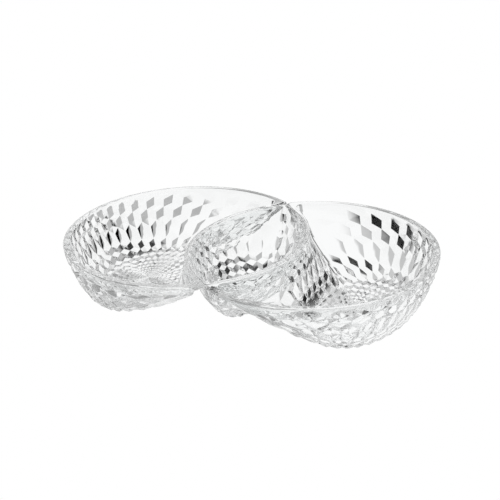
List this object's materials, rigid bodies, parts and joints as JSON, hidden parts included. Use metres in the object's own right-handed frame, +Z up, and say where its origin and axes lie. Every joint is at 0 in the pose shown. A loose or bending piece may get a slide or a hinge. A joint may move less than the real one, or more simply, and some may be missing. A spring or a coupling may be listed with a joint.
{
  "type": "chip and dip server",
  "caption": "Clear honeycomb-cut glass chip and dip server: two crescent chip bowls nested against a lens-shaped dip bowl whose rims draw crossing circles.",
  "frame": {"origin": "on the table, under the middle of the dip bowl, at the centre of the three bowls", "axes": "+X from the left chip bowl through the dip bowl to the right chip bowl, +Y across them towards the back, +Z up"},
  "size_m": [0.33, 0.214, 0.053],
  "materials": {
    "clear_glass": "polished, colourless, with pressed honeycomb facets"
  },
  "bodies": {
    "left_chip_bowl": {"left_chip_bowl": "clear_glass"},
    "dip_bowl": {"dip_bowl": "clear_glass"},
    "right_chip_bowl": {"right_chip_bowl": "clear_glass"}
  },
  "joints": [
    {"name": "dip_bowl_lift", "type": "slide", "parent": "left_chip_bowl", "child": "dip_bowl", "axis": [0, 0, 1], "range_m": [0, 0.06]},
    {"name": "right_chip_bowl_draw", "type": "slide", "parent": "left_chip_bowl", "child": "right_chip_bowl", "axis": [1, 0, 0], "range_m": [0, 0.06]}
  ]
}
